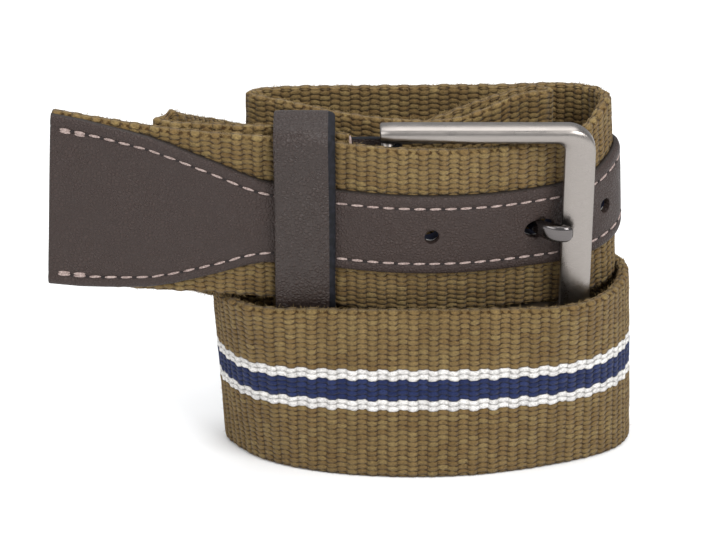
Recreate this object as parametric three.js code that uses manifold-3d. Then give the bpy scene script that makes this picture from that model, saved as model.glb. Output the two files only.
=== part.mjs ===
// A woven canvas belt with a leather tip, fastened in its buckle and stood up on the lower edge of its coil.
// Millimetres, +Z up, +X to the wearer-side right of the front, -Y towards the viewer of the front.
// The webbing is one strap. It runs from the free tip along the front, round the right side and back of the
// upper turn, folds inside it, sinks to the lower turn that stands on the floor, climbs the back again, and
// returns under the tip to the bar of the buckle.
import * as THREE from "three";
import * as BufferGeometryUtils from "three/addons/utils/BufferGeometryUtils.js";
import Module from "manifold-3d";

const wasm = await Module();
wasm.setup();

// ---------------------------------------------------------------- driving dimensions
const STRAP_WIDTH = 39;
const STRAP_THICK = 2.8;
const LEATHER_THICK = 1.3;
const LEATHER_GAP = 0.25; // between the webbing and the leather sewn on it
const LEATHER_LENGTH = 200; // tip strip, measured from the tip
const CHORD_SAG = 0.07; // how far a facet may leave the true curve
const STEP_MAX = 6;
const BAND_PANELS = 4;

const HOLE_RADIUS = 1.65;
const PRONG_HOLE_RADIUS = 2.25;
// Holes along the tip. s: distance from the tip; stretch: length over height. The prong has drawn the second
// hole long.
const HOLE_COLUMNS = ["s", "radius", "stretch"];
const HOLES = [
  [82, HOLE_RADIUS, 1],
  [105.7, PRONG_HOLE_RADIUS, 1.6],
  [122.6, HOLE_RADIUS, 1],
  [144.8, HOLE_RADIUS, 1],
  [167, HOLE_RADIUS, 1],
].map((row) => Object.fromEntries(HOLE_COLUMNS.map((name, i) => [name, row[i]])));

// origin of the part: middle of its outline, on the floor
const CENTRE_X = -3.92;
const CENTRE_Y = -2.19;

// Route of the middle of the webbing. x, y: plan; z: height of the middle line; front, right: degrees that the
// upper edge leans to -y and to +x.
const ROUTE_COLUMNS = ["x", "y", "z", "front", "right"];
const ROUTE = [
  // free tip and front of the upper turn
  [-67.25, -14.4, 62.9, 1.5, 3],
  [-52, -16.4, 61.6, 7, 1.5],
  [-37, -17.65, 60.6, 10.5, 0],
  [-24, -18.1, 59.7, 11, 0],
  [-11, -18.3, 58.5, 10.5, 0],
  [2, -17.9, 56.8, 10, 0],
  [14, -16.5, 55.8, 10, 0],
  [26, -13.9, 55.4, 10, 0],
  [37, -10.3, 55.5, 9, 0],
  [45.3, -6, 55.6, 7, -1],
  // right side and back of the upper turn
  [51.2, -0.6, 56.9, 4, -3],
  [54.1, 5.8, 59.15, 0, -3],
  [51.8, 12.2, 59.4, 0, -2],
  [45, 15.3, 59.3, 0, -0.5],
  [34, 15.8, 58.9, 0, 0],
  [20, 15.3, 58.9, 0, 0],
  [4, 14.6, 58.9, 0, 0],
  [-12, 14.4, 58.9, 0, 0],
  // left turn, and the fold inside the upper turn
  [-21.4, 13.8, 58.7, 0, 0],
  [-24, 12.7, 58.7, 0, 0],
  [-25, 10.7, 58.7, 0, 0],
  [-24.1, 8.8, 58.7, 0, 0],
  [-21.6, 7.6, 58.5, 0, 0],
  [-13, 4.4, 57.6, 0, 0],
  [-3, 1.6, 56.4, 0, 0],
  [9, 0.8, 55.4, 0, 0],
  [20, 1.2, 55.6, 0, 0],
  [30, 2.9, 58, 0, 0],
  [36.4, 4.2, 60.1, 0, 0],
  [39, 4.8, 60.7, 0, 0],
  [40.3, 6.5, 60.9, 0, 0],
  [39, 8.2, 60.7, 0, 0],
  [36.4, 8.7, 60.1, 0, 0],
  // inside, sinking to the floor
  [27, 7.6, 57.2, 0, 0],
  [14, 5.7, 52.1, 0, 0],
  [4, 5.4, 47.8, 0, 0],
  [-4, 5.8, 44.9, 0, 0],
  [-8, 6.5, 43.7, 0, 0],
  [-9.8, 8.4, 42.9, 0, 0],
  [-8, 10.3, 42, 0, 0],
  [-4, 10.8, 40.6, 0, 0],
  [6, 11.2, 36.7, 0, 0],
  [20, 12, 31.2, 0, 0],
  [34, 12.6, 26.3, 0, 0],
  [44, 12, 23.6, 0, 0],
  [50, 8.2, 22.2, 0, 0],
  [45.8, 2.6, 21.1, 0, 0],
  [37, -1.8, 20.3, 0, 0],
  [26, -3.6, 19.7, 0, 0],
  [12, -3.5, 19.5, 0, 0],
  [0, -3, 19.5, 0, 0],
  [-12, -1, 19.5, 0, 0],
  [-20.5, 2.6, 19.5, 0, 0],
  // left turn, front, right side and back of the lower turn
  [-26.6, 5.2, 19.5, 0, 0],
  [-30.8, 2, 19.5, 1, -2],
  [-30, -5.6, 19.5, 5, -5],
  [-23.4, -14.8, 19.5, 9, -4],
  [-11, -19.3, 19.5, 4.5, 0],
  [0, -20.8, 19.5, 1.5, 0],
  [12, -21.1, 19.5, 0, 0],
  [24, -20.6, 19.5, 1.5, 0],
  [34, -19, 19.5, 4.5, 0],
  [42.5, -16.8, 19.5, 7.5, 0],
  [50.6, -12.2, 19.5, 6, 0],
  [56.4, -5, 19.5, 2, -2],
  [58.7, 3.6, 19.5, 0, -2],
  [57.2, 12.4, 19.5, 0, -1.5],
  [51.2, 18.4, 19.9, 0, -1],
  // climbing the back and left to the fold behind the tip
  [41, 20.7, 22.6, 0, 0],
  [24, 20.5, 28.5, 0, 0],
  [6, 19.9, 35.1, 0, 0],
  [-12, 19.2, 41.8, 0, 0],
  [-24, 17.2, 46.6, 0, 0],
  [-31.4, 12.2, 50.2, 1, 0],
  [-35.6, 4.6, 53.7, 3, -1],
  [-37.4, -3, 57, 6, -1],
  [-39.2, -7.2, 59.3, 8.5, 0],
  [-41.6, -9.1, 60.7, 9.5, 0],
  [-43.8, -11.4, 60.9, 10, 0],
  [-41.6, -13.5, 61.1, 10.5, 0],
  [-37, -14.05, 61.2, 11, 0],
  [-30, -14.3, 61, 11.5, 0],
  // under the tip to the buckle
  [-22, -14.05, 60.5, 11, 0],
  [-16, -13.35, 59.7, 10, 0],
  [-9, -13.0, 58.7, 10, 0],
  [-3.2, -12.9, 58, 10, 0],
].map((row) => Object.fromEntries(ROUTE_COLUMNS.map((name, i) => [name, row[i]])));

// Half height of the leather strip along the tip. s: distance from the tip.
const STRIP_COLUMNS = ["s", "half"];
const STRIP = [
  [0, 19.5],
  [7, 19.5],
  [12, 19.2],
  [17, 18.8],
  [22, 18.2],
  [27, 16.9],
  [32, 15.2],
  [37, 13.4],
  [42, 11.3],
  [46, 10.1],
  [50, 9.65],
  [56, 9.5],
  [62, 9.5],
  [LEATHER_LENGTH, 9.5],
].map((row) => Object.fromEntries(STRIP_COLUMNS.map((name, i) => [name, row[i]])));

// Buckle: all its pieces stand in one leaning group at the middle of the frame.
const BUCKLE = { x: 26.4, y: -12.6, z: 55.9, lean: 10 };
const FRAME_HALF_LENGTH = 23.0;
const FRAME_HALF_HEIGHT = 24.1;
const FRAME_ARM = 3.3; // height of the upper and lower arm
const FRAME_SIDE = 6.6; // width of the right side
const FRAME_DEPTH = 5.6;
const FRAME_SIDE_DEPTH = 3.4;
const FRAME_BACK = 2.0; // rear face of the arms behind the bar's axis
const FRAME_CORNER = 5.5;
const FRAME_INNER_CORNER = 1.8;
const BAR_RADIUS = 1.5;
const BAR_X = -21.3;

const CHAPE_LOW = -16.9; // lower and upper edge in the buckle group
const CHAPE_HIGH = 20.0;
const CHAPE_LEFT = -41.5; // in the buckle group
const KEEPER = { x: -12.6, y: -15.6, z: 58.4, lean: 10.5, width: 13, wall: 1.3 };
// Inside of the keeper, y and z in its own group with the rounding of each corner. The front wall draws in below.
const KEEPER_COLUMNS = ["y", "z", "round"];
const KEEPER_INSIDE = [
  [-4.4, -21.2, 2.4],
  [6.1, -21.4, 1.6],
  [6.1, 22.5, 2.8],
  [-6.1, 22.5, 2.0],
  [-6.1, -9, 5],
].map((row) => Object.fromEntries(KEEPER_COLUMNS.map((name, i) => [name, row[i]])));

// ---------------------------------------------------------------- curve through the route
function naturalSpline(rows, names) {
  const n = rows.length;
  const u = [0];
  for (let i = 1; i < n; i++) {
    const a = rows[i - 1], b = rows[i];
    u.push(u[i - 1] + Math.hypot(b.x - a.x, b.y - a.y, b.z - a.z));
  }
  const second = {};
  for (const name of names) {
    // tridiagonal solve for the second derivatives, zero at both ends
    const m = new Array(n).fill(0), c = new Array(n).fill(0), d = new Array(n).fill(0);
    for (let i = 1; i < n - 1; i++) {
      const h0 = u[i] - u[i - 1], h1 = u[i + 1] - u[i];
      const r = 6 * ((rows[i + 1][name] - rows[i][name]) / h1 - (rows[i][name] - rows[i - 1][name]) / h0);
      const w = 2 * (h0 + h1) - h0 * c[i - 1];
      c[i] = h1 / w;
      d[i] = (r - h0 * d[i - 1]) / w;
    }
    for (let i = n - 2; i > 0; i--) m[i] = d[i] - c[i] * m[i + 1];
    second[name] = m;
  }
  return {
    end: u[n - 1],
    at(t) {
      let i = 0;
      while (i < n - 2 && u[i + 1] <= t) i++;
      const h = u[i + 1] - u[i], a = u[i + 1] - t, b = t - u[i];
      const out = {};
      for (const name of names) {
        const m = second[name];
        out[name] = (m[i] * a ** 3 + m[i + 1] * b ** 3) / (6 * h)
          + (rows[i][name] / h - (m[i] * h) / 6) * a + (rows[i + 1][name] / h - (m[i + 1] * h) / 6) * b;
      }
      return out;
    },
  };
}

const tan = (deg) => Math.tan(THREE.MathUtils.degToRad(deg));

// Stations along the strap: s is the length from the tip, c the middle, w the half-width vector to the upper
// edge, n the unit vector to the outer face.
function makeStations() {
  const curve = naturalSpline(ROUTE, ROUTE_COLUMNS);
  const fineCount = Math.round(curve.end * 6);
  const fine = [];
  let s = 0;
  for (let i = 0; i <= fineCount; i++) {
    const p = curve.at((curve.end * i) / fineCount);
    if (i) s += Math.hypot(p.x - fine[i - 1].x, p.y - fine[i - 1].y, p.z - fine[i - 1].z);
    fine.push({ ...p, s });
  }
  const station = (i) => {
    const a = fine[Math.max(0, i - 2)], b = fine[Math.min(fineCount, i + 2)];
    const t = new THREE.Vector3(b.x - a.x, b.y - a.y, b.z - a.z).normalize();
    const w = new THREE.Vector3(tan(fine[i].right), -tan(fine[i].front), 1).normalize();
    const n = t.clone().cross(w);
    const across = n.length(); // sine of the angle between the strap's run and its width
    n.normalize();
    w.multiplyScalar((STRAP_WIDTH / 2) * Math.min(1.08, 1 / across));
    const low = w.z + (STRAP_THICK / 2) * Math.abs(n.z);
    return { s: fine[i].s, c: new THREE.Vector3(fine[i].x, fine[i].y, Math.max(fine[i].z, low)), w, n, angle: Math.atan2(t.y, t.x) };
  };
  const picked = [station(0)];
  let last = 0;
  for (let i = 1; i <= fineCount; i++) {
    const st = station(i), from = picked[picked.length - 1];
    const run = st.s - from.s;
    const bend = Math.abs(Math.atan2(Math.sin(st.angle - from.angle), Math.cos(st.angle - from.angle)));
    const sag = (run * bend) / 8, twist = st.w.distanceTo(from.w) / 8;
    if ((sag > CHORD_SAG || twist > CHORD_SAG || run > STEP_MAX) && i - last > 1) {
      picked.push(station(i - 1));
      last = i - 1;
    }
  }
  if (fine[fineCount].s - picked[picked.length - 1].s < 0.6) picked.pop();
  picked.push(station(fineCount));
  return { picked, fine, station };
}

// Closed band between two offsets from the middle surface, with its own half height at each station and
// BAND_PANELS panels over its height.
function bandGeometry(stations, inner, outer, halfOf) {
  const pos = [], idx = [], levels = [];
  for (let j = 0; j <= BAND_PANELS; j++) levels.push((2 * j) / BAND_PANELS - 1);
  const ring = [...levels.map((k) => [k, outer]), ...levels.map((k) => [k, inner]).reverse()];
  const n = ring.length;
  for (const st of stations) {
    const k = halfOf(st.s) / (STRAP_WIDTH / 2);
    for (const [f, o] of ring) {
      const p = st.c.clone().addScaledVector(st.w, f * k).addScaledVector(st.n, o);
      pos.push(p.x, p.y, p.z);
    }
  }
  const quad = (a, b, c, d) => idx.push(a, b, c, a, c, d);
  const m = stations.length;
  for (let i = 0; i < m - 1; i++) {
    const a = n * i, b = a + n;
    for (let j = 0; j < n; j++) quad(a + j, b + j, b + ((j + 1) % n), a + ((j + 1) % n));
  }
  for (let j = 0; j < BAND_PANELS; j++) {
    const a = j, b = j + 1, c = n - 2 - j, d = n - 1 - j, e = n * (m - 1);
    quad(a, b, c, d);
    quad(e + d, e + c, e + b, e + a);
  }
  const g = new THREE.BufferGeometry();
  g.setAttribute("position", new THREE.Float32BufferAttribute(pos, 3));
  g.setIndex(idx);
  return g;
}

// ---------------------------------------------------------------- cutting and joining
function toSolid(geometry, matrix) {
  let g = geometry.clone();
  if (matrix) g.applyMatrix4(matrix);
  g.deleteAttribute("normal");
  g.deleteAttribute("uv");
  g = BufferGeometryUtils.mergeVertices(g, 1e-5);
  const solid = new wasm.Manifold(new wasm.Mesh({
    numProp: 3,
    vertProperties: new Float32Array(g.attributes.position.array),
    triVerts: new Uint32Array(g.index.array),
  }));
  return solid;
}
function toGeometry(solid) {
  const m = solid.getMesh();
  const g = new THREE.BufferGeometry();
  g.setAttribute("position", new THREE.Float32BufferAttribute(m.vertProperties, 3));
  g.setIndex(new THREE.Uint32BufferAttribute(m.triVerts, 1));
  return g;
}
const move = (x, y, z) => new THREE.Matrix4().makeTranslation(x, y, z);
// outline in x, z pushed along y from y0 to y1
function plate(shape, y0, y1) {
  const g = new THREE.ExtrudeGeometry(shape, { depth: y1 - y0, bevelEnabled: false, curveSegments: 6 });
  return toSolid(g, new THREE.Matrix4().makeTranslation(0, y1, 0).multiply(new THREE.Matrix4().makeRotationX(Math.PI / 2)));
}
// outline in x, y raised from z0 to z1
function prism(shape, z0, z1) {
  const g = new THREE.ExtrudeGeometry(shape, { depth: z1 - z0, bevelEnabled: false, curveSegments: 6 });
  return toSolid(g, move(0, 0, z0));
}
function roundedRect(x0, y0, x1, y1, [r00, r10, r11, r01]) {
  const s = new THREE.Shape();
  s.moveTo(x0 + r00, y0);
  s.lineTo(x1 - r10, y0);
  if (r10) s.absarc(x1 - r10, y0 + r10, r10, -Math.PI / 2, 0, false);
  s.lineTo(x1, y1 - r11);
  if (r11) s.absarc(x1 - r11, y1 - r11, r11, 0, Math.PI / 2, false);
  s.lineTo(x0 + r01, y1);
  if (r01) s.absarc(x0 + r01, y1 - r01, r01, Math.PI / 2, Math.PI, false);
  s.lineTo(x0, y0 + r00);
  if (r00) s.absarc(x0 + r00, y0 + r00, r00, Math.PI, 1.5 * Math.PI, false);
  s.closePath();
  return s;
}
// outline of a bent rod or strip: the points of its middle line with a half thickness at each
function ribbonShape(points) {
  const left = [], right = [];
  points.forEach(([x, y, h], i) => {
    const a = points[Math.max(0, i - 1)], b = points[Math.min(points.length - 1, i + 1)];
    const d = Math.hypot(b[0] - a[0], b[1] - a[1]);
    const nx = -(b[1] - a[1]) / d, ny = (b[0] - a[0]) / d;
    left.push(new THREE.Vector2(x + nx * h, y + ny * h));
    right.push(new THREE.Vector2(x - nx * h, y - ny * h));
  });
  return new THREE.Shape([...right, ...left.reverse()]);
}

// ---------------------------------------------------------------- strap, tip strip and their holes
const { picked: strapStations, fine: fineRoute, station: fineStation } = makeStations();

function punch(solid, from, to) {
  for (const hole of HOLES) {
    const st = fineStation(fineRoute.findIndex((p) => p.s >= hole.s));
    const pin = new THREE.CylinderGeometry(hole.radius, hole.radius, to - from, 16, 1);
    const up = st.w.clone().normalize();
    const m = new THREE.Matrix4().makeBasis(up, st.n, up.clone().cross(st.n));
    m.setPosition(st.c.clone().addScaledVector(st.n, (from + to) / 2));
    m.scale(new THREE.Vector3(1, 1, hole.stretch));
    solid = solid.subtract(toSolid(pin, m));
  }
  return solid;
}

const half = STRAP_THICK / 2;
const webbing = punch(toSolid(bandGeometry(strapStations, -half, half, () => STRAP_WIDTH / 2)), -half - 1, half + 1);

function stripHalf(s) {
  let i = 0;
  while (i < STRIP.length - 2 && STRIP[i + 1].s <= s) i++;
  const a = STRIP[i], b = STRIP[i + 1];
  return a.half + ((b.half - a.half) * (s - a.s)) / (b.s - a.s);
}
const stripStations = [];
{
  const cuts = [...STRIP.map((r) => r.s), ...strapStations.map((st) => st.s)].filter((s) => s <= LEATHER_LENGTH).sort((a, b) => a - b);
  let prev = -9;
  for (const s of cuts) {
    if (s - prev < 0.01) continue;
    stripStations.push(fineStation(Math.max(0, fineRoute.findIndex((p) => p.s >= s - 1e-6))));
    prev = s;
  }
}
// the strip lies a little clear of the webbing's facets, so it keeps its own finer stations
const stripInner = half + LEATHER_GAP, stripOuter = stripInner + LEATHER_THICK;
const strip = punch(toSolid(bandGeometry(stripStations, stripInner, stripOuter, stripHalf)), stripInner - 1, stripOuter + 1);

// ---------------------------------------------------------------- buckle frame with its bar
const L = FRAME_HALF_LENGTH, H = FRAME_HALF_HEIGHT, D = FRAME_DEPTH / 2;
let frame = plate(roundedRect(-L, -H, L, H, [1.2, FRAME_CORNER, FRAME_CORNER, 1.2]), -D, FRAME_BACK);
frame = frame.subtract(plate(roundedRect(-L - 5, -H + FRAME_ARM, L - FRAME_SIDE, H - FRAME_ARM, [0, FRAME_INNER_CORNER, FRAME_INNER_CORNER, 0]), -D - 1, D + 1));
frame = frame.subtract(plate(roundedRect(L - FRAME_SIDE - 2, -H + FRAME_ARM, L + 1, H - FRAME_ARM, [0, 0, 0, 0]), -D + FRAME_SIDE_DEPTH, D + 1));
frame = frame.add(toSolid(new THREE.CylinderGeometry(BAR_RADIUS, BAR_RADIUS, 2 * H - FRAME_ARM, 16, 1), new THREE.Matrix4().makeTranslation(BAR_X, 0, 0).multiply(new THREE.Matrix4().makeRotationX(Math.PI / 2))));

// ---------------------------------------------------------------- chape: leather folded round the bar
const wrap = BAR_RADIUS + 0.3 + LEATHER_THICK / 2;
const flat = half + 0.3 + LEATHER_THICK / 2;
const chapeLine = [[CHAPE_LEFT, -flat, LEATHER_THICK / 2], [-34, -flat, LEATHER_THICK / 2], [-30, -flat, LEATHER_THICK / 2], [-26, -wrap - 0.05, LEATHER_THICK / 2], [-23.5, -wrap, LEATHER_THICK / 2]];
for (let k = 0; k <= 12; k++) {
  const a = -Math.PI / 2 + (Math.PI * k) / 12;
  chapeLine.push([BAR_X + wrap * Math.cos(a), wrap * Math.sin(a), LEATHER_THICK / 2]);
}
chapeLine.push([-23.5, wrap, LEATHER_THICK / 2], [-26, wrap + 0.05, LEATHER_THICK / 2], [-30, flat, LEATHER_THICK / 2], [-34, flat, LEATHER_THICK / 2], [CHAPE_LEFT, flat, LEATHER_THICK / 2]);
let chape = prism(ribbonShape(chapeLine), CHAPE_LOW, CHAPE_HIGH);
const slot = new THREE.BoxGeometry(11.4, 12, 6.4);
chape = chape.subtract(toSolid(slot, move(BAR_X + 0.7, 0, 0)));

// ---------------------------------------------------------------- prong
const RING = 0.6;
const PRONG_HALF = 1.1;
const ringOuter = new THREE.Shape().absarc(BAR_X, 0, BAR_RADIUS + 0.3 + 2 * RING, 0, 2 * Math.PI, false);
let prong = prism(ringOuter, -2.5, 2.5);
const prongLine = [[-18.9, 0.3], [-16, 0.6], [-12, 1.0], [-7, 1.7], [-2, 2.6], [2.5, 3.6], [5.6, 4.3], [7.6, 4.4], [9.3, 3.5], [10.9, 1.5], [12.3, -0.9], [13.5, -2.8], [14.7, -3.95], [16.2, -4.35]];
prong = prong.add(prism(ribbonShape(prongLine.map(([x, y]) => [x, y, PRONG_HALF])), -1.7, 0.5));
prong = prong.add(prism(ribbonShape([[13.6, -3.4, 1.0], [14.4, -4.1, 1.1], [15.6, -4.35, 1.25], [16.8, -4.4, 1.3], [17.8, -4.3, 1.1], [18.4, -4.2, 0.7]]), -2.15, 1.75));
prong = prong.subtract(toSolid(new THREE.CylinderGeometry(BAR_RADIUS + 0.3, BAR_RADIUS + 0.3, 8, 16, 1), new THREE.Matrix4().makeTranslation(BAR_X, 0, 0).multiply(new THREE.Matrix4().makeRotationX(Math.PI / 2))));

// ---------------------------------------------------------------- keeper: leather loop round both layers
function keeperOutline(grow) {
  const s = new THREE.Shape();
  const pts = KEEPER_INSIDE.map((p) => ({ y: p.y + grow * Math.sign(p.y), z: Math.abs(p.z) > 15 ? p.z + grow * Math.sign(p.z) : p.z, r: p.round + grow }));
  pts.forEach((p, i) => {
    const q = pts[(i + pts.length - 1) % pts.length], n = pts[(i + 1) % pts.length];
    const lq = Math.hypot(q.y - p.y, q.z - p.z), ln = Math.hypot(n.y - p.y, n.z - p.z);
    const a = [p.y + ((q.y - p.y) * p.r) / lq, p.z + ((q.z - p.z) * p.r) / lq];
    const b = [p.y + ((n.y - p.y) * p.r) / ln, p.z + ((n.z - p.z) * p.r) / ln];
    if (i) s.lineTo(...a);
    else s.moveTo(...a);
    s.quadraticCurveTo(p.y, p.z, ...b);
  });
  s.closePath();
  return s;
}
const loop = keeperOutline(KEEPER.wall), loopHole = keeperOutline(0);
// drawn in y, z and pushed along x
const alongX = new THREE.Matrix4().set(0, 0, 1, -KEEPER.width / 2, 1, 0, 0, 0, 0, 1, 0, 0, 0, 0, 0, 1);
const loopSolid = (shape, extra) => toSolid(new THREE.ExtrudeGeometry(shape, { depth: KEEPER.width + 2 * extra, bevelEnabled: false, curveSegments: 4 }), move(-extra, 0, 0).multiply(alongX));
const keeper = loopSolid(loop, 0).subtract(loopSolid(loopHole, 1));

// ---------------------------------------------------------------- scene graph
const belt = new THREE.Group();
belt.name = "belt";
belt.position.set(-CENTRE_X, -CENTRE_Y, 0);

function piece(parent, name, solid, color, roughness, metalness) {
  const mesh = new THREE.Mesh(toGeometry(solid), new THREE.MeshStandardMaterial({ color, roughness, metalness }));
  mesh.name = name;
  parent.add(mesh);
  return mesh;
}
const buckle = new THREE.Group();
buckle.position.set(BUCKLE.x, BUCKLE.y, BUCKLE.z);
buckle.rotation.x = THREE.MathUtils.degToRad(BUCKLE.lean);
belt.add(buckle);
const keeperGroup = new THREE.Group();
keeperGroup.position.set(KEEPER.x, KEEPER.y, KEEPER.z);
keeperGroup.rotation.x = THREE.MathUtils.degToRad(KEEPER.lean);
belt.add(keeperGroup);

piece(belt, "webbing_strap", webbing, 0x7d6941, 0.95, 0);
piece(belt, "tip_leather", strip, 0x58504b, 0.6, 0);
piece(keeperGroup, "keeper", keeper, 0x554d49, 0.55, 0);
piece(buckle, "chape", chape, 0x4a4341, 0.6, 0);
piece(buckle, "buckle_frame", frame, 0xb4aea8, 0.35, 1);
piece(buckle, "prong", prong, 0x6f6c6a, 0.25, 1);

export default belt;
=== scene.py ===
import math
import bpy, bmesh
import numpy as np
from mathutils import Vector, Matrix


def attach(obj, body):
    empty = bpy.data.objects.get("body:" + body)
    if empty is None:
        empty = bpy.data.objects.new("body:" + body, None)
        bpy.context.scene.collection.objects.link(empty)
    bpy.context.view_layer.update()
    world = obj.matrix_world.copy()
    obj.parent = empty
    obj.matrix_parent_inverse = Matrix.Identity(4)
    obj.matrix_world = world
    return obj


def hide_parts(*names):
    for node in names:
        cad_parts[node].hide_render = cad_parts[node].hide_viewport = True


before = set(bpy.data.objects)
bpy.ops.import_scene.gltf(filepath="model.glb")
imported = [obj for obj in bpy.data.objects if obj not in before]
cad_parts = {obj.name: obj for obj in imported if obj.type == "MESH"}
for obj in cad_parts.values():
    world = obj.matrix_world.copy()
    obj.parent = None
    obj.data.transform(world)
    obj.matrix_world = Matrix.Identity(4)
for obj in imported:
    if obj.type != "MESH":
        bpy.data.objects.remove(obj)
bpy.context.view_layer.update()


rng = np.random.default_rng(7)
MM = 0.001

# ------------------------------------------------------------------ sizes, in millimetres
STRAP_WIDTH, STRAP_THICK = 39.0, 2.8
CENTRE = np.array([-3.92, -2.19, 0.0])
ROUTE = [
  # free tip and front of the upper turn
  [-67.25, -14.4, 62.9, 1.5, 3],
  [-52, -16.4, 61.6, 7, 1.5],
  [-37, -17.65, 60.6, 10.5, 0],
  [-24, -18.1, 59.7, 11, 0],
  [-11, -18.3, 58.5, 10.5, 0],
  [2, -17.9, 56.8, 10, 0],
  [14, -16.5, 55.8, 10, 0],
  [26, -13.9, 55.4, 10, 0],
  [37, -10.3, 55.5, 9, 0],
  [45.3, -6, 55.6, 7, -1],
  # right side and back of the upper turn
  [51.2, -0.6, 56.9, 4, -3],
  [54.1, 5.8, 59.15, 0, -3],
  [51.8, 12.2, 59.4, 0, -2],
  [45, 15.3, 59.3, 0, -0.5],
  [34, 15.8, 58.9, 0, 0],
  [20, 15.3, 58.9, 0, 0],
  [4, 14.6, 58.9, 0, 0],
  [-12, 14.4, 58.9, 0, 0],
  # left turn, and the fold inside the upper turn
  [-21.4, 13.8, 58.7, 0, 0],
  [-24, 12.7, 58.7, 0, 0],
  [-25, 10.7, 58.7, 0, 0],
  [-24.1, 8.8, 58.7, 0, 0],
  [-21.6, 7.6, 58.5, 0, 0],
  [-13, 4.4, 57.6, 0, 0],
  [-3, 1.6, 56.4, 0, 0],
  [9, 0.8, 55.4, 0, 0],
  [20, 1.2, 55.6, 0, 0],
  [30, 2.9, 58, 0, 0],
  [36.4, 4.2, 60.1, 0, 0],
  [39, 4.8, 60.7, 0, 0],
  [40.3, 6.5, 60.9, 0, 0],
  [39, 8.2, 60.7, 0, 0],
  [36.4, 8.7, 60.1, 0, 0],
  # inside, sinking to the floor
  [27, 7.6, 57.2, 0, 0],
  [14, 5.7, 52.1, 0, 0],
  [4, 5.4, 47.8, 0, 0],
  [-4, 5.8, 44.9, 0, 0],
  [-8, 6.5, 43.7, 0, 0],
  [-9.8, 8.4, 42.9, 0, 0],
  [-8, 10.3, 42, 0, 0],
  [-4, 10.8, 40.6, 0, 0],
  [6, 11.2, 36.7, 0, 0],
  [20, 12, 31.2, 0, 0],
  [34, 12.6, 26.3, 0, 0],
  [44, 12, 23.6, 0, 0],
  [50, 8.2, 22.2, 0, 0],
  [45.8, 2.6, 21.1, 0, 0],
  [37, -1.8, 20.3, 0, 0],
  [26, -3.6, 19.7, 0, 0],
  [12, -3.5, 19.5, 0, 0],
  [0, -3, 19.5, 0, 0],
  [-12, -1, 19.5, 0, 0],
  [-20.5, 2.6, 19.5, 0, 0],
  # left turn, front, right side and back of the lower turn
  [-26.6, 5.2, 19.5, 0, 0],
  [-30.8, 2, 19.5, 1, -2],
  [-30, -5.6, 19.5, 5, -5],
  [-23.4, -14.8, 19.5, 9, -4],
  [-11, -19.3, 19.5, 4.5, 0],
  [0, -20.8, 19.5, 1.5, 0],
  [12, -21.1, 19.5, 0, 0],
  [24, -20.6, 19.5, 1.5, 0],
  [34, -19, 19.5, 4.5, 0],
  [42.5, -16.8, 19.5, 7.5, 0],
  [50.6, -12.2, 19.5, 6, 0],
  [56.4, -5, 19.5, 2, -2],
  [58.7, 3.6, 19.5, 0, -2],
  [57.2, 12.4, 19.5, 0, -1.5],
  [51.2, 18.4, 19.9, 0, -1],
  # climbing the back and left to the fold behind the tip
  [41, 20.7, 22.6, 0, 0],
  [24, 20.5, 28.5, 0, 0],
  [6, 19.9, 35.1, 0, 0],
  [-12, 19.2, 41.8, 0, 0],
  [-24, 17.2, 46.6, 0, 0],
  [-31.4, 12.2, 50.2, 1, 0],
  [-35.6, 4.6, 53.7, 3, -1],
  [-37.4, -3, 57, 6, -1],
  [-39.2, -7.2, 59.3, 8.5, 0],
  [-41.6, -9.1, 60.7, 9.5, 0],
  [-43.8, -11.4, 60.9, 10, 0],
  [-41.6, -13.5, 61.1, 10.5, 0],
  [-37, -14.05, 61.2, 11, 0],
  [-30, -14.3, 61, 11.5, 0],
  # under the tip to the buckle
  [-22, -14.05, 60.5, 11, 0],
  [-16, -13.35, 59.7, 10, 0],
  [-9, -13.0, 58.7, 10, 0],
  [-3.2, -12.9, 58, 10, 0],
]  # x, y, z of the middle, lean of the upper edge to -y and to +x
STRIP = [
  [0, 19.5],
  [7, 19.5],
  [12, 19.2],
  [17, 18.8],
  [22, 18.2],
  [27, 16.9],
  [32, 15.2],
  [37, 13.4],
  [42, 11.3],
  [46, 10.1],
  [50, 9.65],
  [56, 9.5],
  [62, 9.5],
  [200, 9.5],
]  # distance from the tip, half height of the leather
HOLES = [(82, 1.65, 1), (105.7, 2.25, 1.6), (122.6, 1.65, 1), (144.8, 1.65, 1), (167, 1.65, 1)]
BUCKLE, BUCKLE_LEAN = np.array([26.4, -12.6, 55.9]), 10.0
KEEPER, KEEPER_LEAN = np.array([-12.6, -15.6, 58.4]), 10.5
COLUMN, ROW = 2.2, 1.2  # width of a rib of the weave along the strap, height of a yarn row
STRIPE_TOP = 6.0  # upper edge of the stripe above the middle of the strap


# ------------------------------------------------------------------ the strap's middle surface
def spline(rows):
    r = np.array(rows, float)
    u = np.concatenate([[0], np.cumsum(np.linalg.norm(np.diff(r[:, :3], axis=0), axis=1))])
    n = len(r)
    A = np.zeros((n, n)); B = np.zeros((n, r.shape[1]))
    A[0, 0] = A[-1, -1] = 1
    for i in range(1, n - 1):
        h0, h1 = u[i] - u[i - 1], u[i + 1] - u[i]
        A[i, i - 1], A[i, i], A[i, i + 1] = h0, 2 * (h0 + h1), h1
        B[i] = 6 * ((r[i + 1] - r[i]) / h1 - (r[i] - r[i - 1]) / h0)
    M = np.linalg.solve(A, B)
    t = np.linspace(0, u[-1], int(round(u[-1] * 6)) + 1)
    i = np.clip(np.searchsorted(u, t, side="right") - 1, 0, n - 2)
    h = (u[i + 1] - u[i])[:, None]; a = (u[i + 1] - t)[:, None]; b = (t - u[i])[:, None]
    return (M[i] * a ** 3 + M[i + 1] * b ** 3) / (6 * h) + (r[i] / h - M[i] * h / 6) * a + (r[i + 1] / h - M[i + 1] * h / 6) * b


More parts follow.
